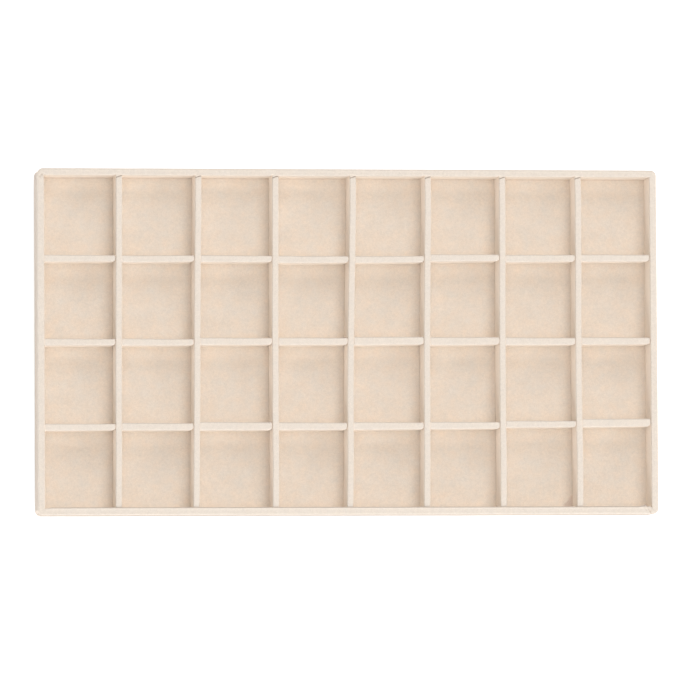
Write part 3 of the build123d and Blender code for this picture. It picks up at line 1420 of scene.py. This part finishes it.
@dataclass
class FloorCloth:
    """The lining on the floor of all the compartments, in one sheet.

    Attributes:
        plan: The tray's sizes.
        step: Size of a face.
        overlap: How far it is pushed into the rim's pile.
        shell_share: Thickness of the modelled cloth, as a share of the real one.
        swell: How much the glued lining swells.
        swell_length: Distance between its swells.
        seed: Shifts their pattern.
        fold_reach: How far the lifted corner in the seventh column's front compartment reaches, each way.
        fold_lift: How far that corner stands up.
        fold_curl: How its slope bends: below 1 it rises steeply from the crease.
        fold_edge: Over what share of its reach the painted shade of the lifted corner comes in.
        fold_overlap: How far it runs on under the divider, as a share of its reach.
        wall_line: How much painted shade darkens the lining along the foot of the back wall.
        wall_line_width: How wide that painted shade is.
        fold_corner: The lifted corner's place.
    """

    plan: TrayPlan
    step: float = 1.25 * MM
    overlap: float = 0.3 * MM
    shell_share: float = 0.7
    swell: float = 0.1 * MM
    swell_length: float = 16 * MM
    seed: float = 7.7
    fold_reach: tuple[float, float] = (6.6 * MM, 8.6 * MM)
    fold_lift: float = 0.9 * MM
    fold_curl: float = 0.8
    fold_edge: float = 0.12
    fold_overlap: float = 0.2
    wall_line: float = 0.8
    wall_line_width: float = 0.9 * MM
    fold_corner: Vector = field(init=False)

    def __post_init__(self) -> None:
        """Find the lifted corner's place."""
        last_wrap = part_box(f"column_wrap_{COLUMNS - 1}")[0]
        self.fold_corner = Vector((last_wrap.x, -self.plan.inner_half_depth, 0))

    def inside_fold(self, place: Vector) -> float:
        """How far a place lies inside the lifted corner, from 0 at its crease to 1 at the corner itself."""
        across = (self.fold_corner.x - place.x) / self.fold_reach[0]
        up = (place.y - self.fold_corner.y) / self.fold_reach[1]
        if across < -self.fold_overlap:
            return 0.0
        return max(0.0, 1 - max(across, 0.0) - up)

    def relief(self, place: Vector, _: Vector) -> float:
        """How far the lining stands off its board at a place, whatever its normal."""
        swell = self.swell * (wave(place, self.swell_length, self.seed) - 0.5)
        return swell + self.fold_lift * self.inside_fold(place) ** self.fold_curl

    def flat_pile(self, place: Vector) -> float:
        """How much painted shade darkens the lining, from 0 to 1: on the lifted corner and along the foot of
        the back wall.
        """
        wall = self.plan.inner_half_depth
        wall_shade_share = self.wall_line * smooth_step(wall - self.wall_line_width, wall, place.y)
        return max(smooth_step(0.0, self.fold_edge, self.inside_fold(place)), wall_shade_share)

    def build(self, material: bpy.types.Material) -> None:
        """Make the lining.

        Args:
            material: Its cloth.
        """
        low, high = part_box("floor_lining")
        flat = (high.x - low.x, high.y - low.y)
        across, deep = round(flat[0] / self.step), round(flat[1] / self.step)
        past = self.overlap
        places = even_rows((low.x - past, low.y - past), (high.x + past, high.y + past), across, deep)
        mesh = grid_mesh("floor_cloth", [[Vector((x, y, high.z)) for x, y in row] for row in places])
        displace(mesh, self.relief)
        mesh = thicken(mesh, (high.z - low.z) * self.shell_share)
        mark(mesh, self.flat_pile)
        mesh.materials.append(material)
        piece = Piece(add_object(mesh.name, mesh), ["floor_lining"], "floor_cloth")
        piece.hand_over()


@dataclass
class BackingCloth:
    """The thin lining under the tray, over the hem and up against the base board.

    Attributes:
        plan: The tray's sizes.
        step: Size of a face.
        shell: Thickness of the modelled cloth.
        rise_range: Where it starts to rise past the hem's inner edge, and where it lies on the base board.
        swell: How much it swells there.
        swell_length: Distance between its swells.
        seed: Shifts their pattern.
    """

    plan: TrayPlan
    step: float = 2.5 * MM
    shell: float = 0.6 * MM
    rise_range: tuple[float, float] = (-0.5 * MM, 2.5 * MM)
    swell: float = 0.06 * MM
    swell_length: float = 20 * MM
    seed: float = 9.9

    def build(self, material: bpy.types.Material) -> None:
        """Make the lining.

        Args:
            material: Its cloth.
        """
        low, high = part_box("bottom_lining")
        flat = (high.x - low.x, high.y - low.y)
        hem = self.plan.hem - (self.plan.half_length - high.x)
        start, end = self.rise_range

        def lift(x: float, y: float) -> float:
            """How far the lining rises at a place, with its swells."""
            inside = min(high.x - abs(x), high.y - abs(y))
            rise = self.plan.rim_cloth * smooth_step(hem + start, hem + end, inside)
            swell = self.swell * (1 + wave(Vector((x, y, 0)), self.swell_length, self.seed))
            return rise + swell * smooth_step(0, hem, inside - hem)

        across, deep = round(flat[0] / self.step), round(flat[1] / self.step)
        places = even_rows((low.x, high.y), (high.x, low.y), across, deep)
        rows = [[Vector((x, y, low.z + lift(x, y))) for x, y in row] for row in places]
        mesh = thicken(grid_mesh("backing_cloth", rows), self.shell)
        mesh.materials.append(material)
        piece = Piece(add_object(mesh.name, mesh), ["bottom_lining"], "backing_cloth")
        piece.hand_over()


@dataclass
class Boards:
    """The stiff boards, which stay as they are packed and only get their material.

    Attributes:
        families: What the names of their nodes start with.
    """

    families: tuple[str, ...] = ("base_board", "rim_board", "column_divider", "cross_divider")

    def build(self, material: bpy.types.Material, nodes: dict) -> None:
        """Dress every board.

        Args:
            material: The board's finish.
            nodes: The frame's nodes by name.
        """
        for name, obj in nodes.items():
            if name.startswith(self.families):
                obj.data.materials.clear()
                obj.data.materials.append(material)
                LOG.info("%s is dressed as %s", name, material.name)


@dataclass(frozen=True)
class SoftLamp:
    """One round soft lamp that faces the tray.

    Attributes:
        name: The lamp's name.
        azimuth: Its direction in plan, in degrees from the tray's right, going round to the back.
        height: Its height over the table, in degrees.
        watts: Its power.
        size: Its diameter.
        distance: Its distance from the tray.
    """

    name: str
    azimuth: float
    height: float
    watts: float
    size: float = 2.6
    distance: float = 5.0

    def build(self) -> None:
        """Hang the lamp."""
        data = bpy.data.lights.new(self.name, "AREA")
        data.energy, data.shape, data.size = self.watts, "DISK", self.size
        azimuth, height = math.radians(self.azimuth), math.radians(self.height)
        level = math.cos(height)
        way = Vector((math.cos(azimuth) * level, math.sin(azimuth) * level, math.sin(height)))
        place = Matrix.Translation(way * self.distance)
        add_object(self.name, data).matrix_world = place @ way.to_track_quat("Z", "Y").to_matrix().to_4x4()


@dataclass
class Studio:
    """The floor, the lamps, the world and the camera.

    Attributes:
        camera_place: The camera's place over the tray.
        camera_aim: The point it looks at, on the height of the rim.
        camera_roll: Its turn about its own axis, in radians.
        focal_pixels: Its focal length, in pixels of the frame.
        frame_pixels: Width of the frame.
        sensor: Width of the sensor, in millimetres.
        clip: The nearest and the farthest distance it sees.
        lamps: The soft lamps.
        sky: Strength of the even sky.
        floor_half: Half the width of the floor.
        floor_white: How much light the floor sends back.
        floor_glow: How much it glows where it is seen.
    """

    camera_place: Vector = field(default_factory=lambda: Vector((-497, -215, 4000)) * MM)
    camera_aim: Vector = field(default_factory=lambda: Vector((0.35, -5.0, 25.4)) * MM)
    camera_roll: float = 0.0058
    focal_pixels: float = 6690.0
    frame_pixels: float = 700.0
    sensor: float = 36.0
    clip: tuple[float, float] = (0.1, 20.0)
    lamps: Sequence[SoftLamp] = (
        SoftLamp("top_lamp", 0, 88, 48), SoftLamp("back_lamp", 82, 49, 99),
        SoftLamp("front_lamp", 270, 25, 166), SoftLamp("right_lamp", 315, 26, 46))
    sky: float = 0.42
    floor_half: float = 3.0
    floor_white: float = 0.82
    floor_glow: float = 0.5

    def camera(self) -> None:
        """Set the camera as the photo's framing asks."""
        data = bpy.data.cameras.new("camera")
        data.sensor_width = self.sensor
        data.lens = self.sensor * self.focal_pixels / self.frame_pixels
        data.clip_start, data.clip_end = self.clip
        obj = add_object("camera", data)
        ahead = (self.camera_aim - self.camera_place).normalized()
        up = Vector((math.sin(self.camera_roll), math.cos(self.camera_roll), 0))
        right = ahead.cross(up).normalized()
        turn = Matrix((right, right.cross(ahead), -ahead)).transposed()
        obj.matrix_world = Matrix.Translation(self.camera_place) @ turn.to_4x4()
        bpy.context.scene.camera = obj

    def world(self) -> None:
        """A pale even sky, white where the camera sees it."""
        world = bpy.data.worlds.new("studio")
        make = cleared(world)
        sky, white = (
            make.add("ShaderNodeBackground", {"Color": WHITE, "Strength": strength}).outputs[0]
            for strength in (self.sky, 1.0))
        mixed = make.add("ShaderNodeMixShader", {0: seen(make), 1: sky, 2: white})
        make.add("ShaderNodeOutputWorld", {"Surface": mixed.outputs[0]})
        bpy.context.scene.world = world

    def floor(self) -> None:
        """A white floor that keeps a faint shadow and is clear from below."""
        edge, white = self.floor_half, self.floor_white
        rows = even_rows((-edge, -edge), (edge, edge), 1, 1)
        mesh = grid_mesh("floor", [[Vector((x, y, 0)) for x, y in row] for row in rows])
        material = bpy.data.materials.new("studio_floor")
        make = cleared(material)
        matt = make.add("ShaderNodeBsdfDiffuse", {"Color": (white, white, white, 1)})
        glow = make.maths("MULTIPLY", seen(make), self.floor_glow)
        light = make.add("ShaderNodeEmission", {"Color": WHITE, "Strength": glow})
        both = make.add("ShaderNodeAddShader", {0: matt.outputs[0], 1: light.outputs[0]})
        clear = make.add("ShaderNodeBsdfTransparent")
        back = make.add("ShaderNodeNewGeometry").outputs["Backfacing"]
        mixed = make.add("ShaderNodeMixShader", {0: back, 1: both.outputs[0], 2: clear.outputs[0]})
        make.add("ShaderNodeOutputMaterial", {"Surface": mixed.outputs[0]})
        mesh.materials.append(material)
        add_object("floor", mesh)

    def build(self) -> None:
        """Set up the whole studio."""
        self.floor()
        for lamp in self.lamps:
            lamp.build()
        self.world()
        self.camera()
        bpy.context.scene.view_settings.view_transform = "Standard"


def main() -> None:
    """Build the tray round its frame, piece by piece."""
    logging.basicConfig(level=logging.INFO, format="%(message)s")
    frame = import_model()
    plan = TrayPlan.from_frame()
    pile = pile_group()
    # The last colour given to each cloth is the one that its painted shade darkens it towards.
    upper = ClothFinish(
        "upper_cloth", warm=(0.825, 0.737, 0.642), cool=(0.808, 0.737, 0.657), blotch_depth=0.025,
        fibre_depth=0.15, turned=(0.5, 0.45, 0.415)).build(pile)
    lining = ClothFinish(
        "floor_cloth", warm=(0.846, 0.722, 0.604), cool=(0.797, 0.722, 0.638), blotch_depth=0.05,
        fibre_depth=0.14, turned=(0.86, 0.8, 0.79)).build(pile)
    backing = ClothFinish("backing_cloth", warm=(0.55, 0.47, 0.38), cool=(0.52, 0.46, 0.39)).build(pile)
    Boards().build(BoardFinish().build(), frame["nodes"])
    BackingCloth(plan).build(backing)
    FloorCloth(plan).build(lining)
    sway = sway_group()
    columns = ColumnCloth(plan)
    RimCloth(plan, tip_places=columns.back_dents()).build(upper)
    columns.build(upper, column_tree(sway))
    CrossCloth(plan).build(upper, row_tree(sway))
    Studio().build()


if __name__ == "__main__":
    main()
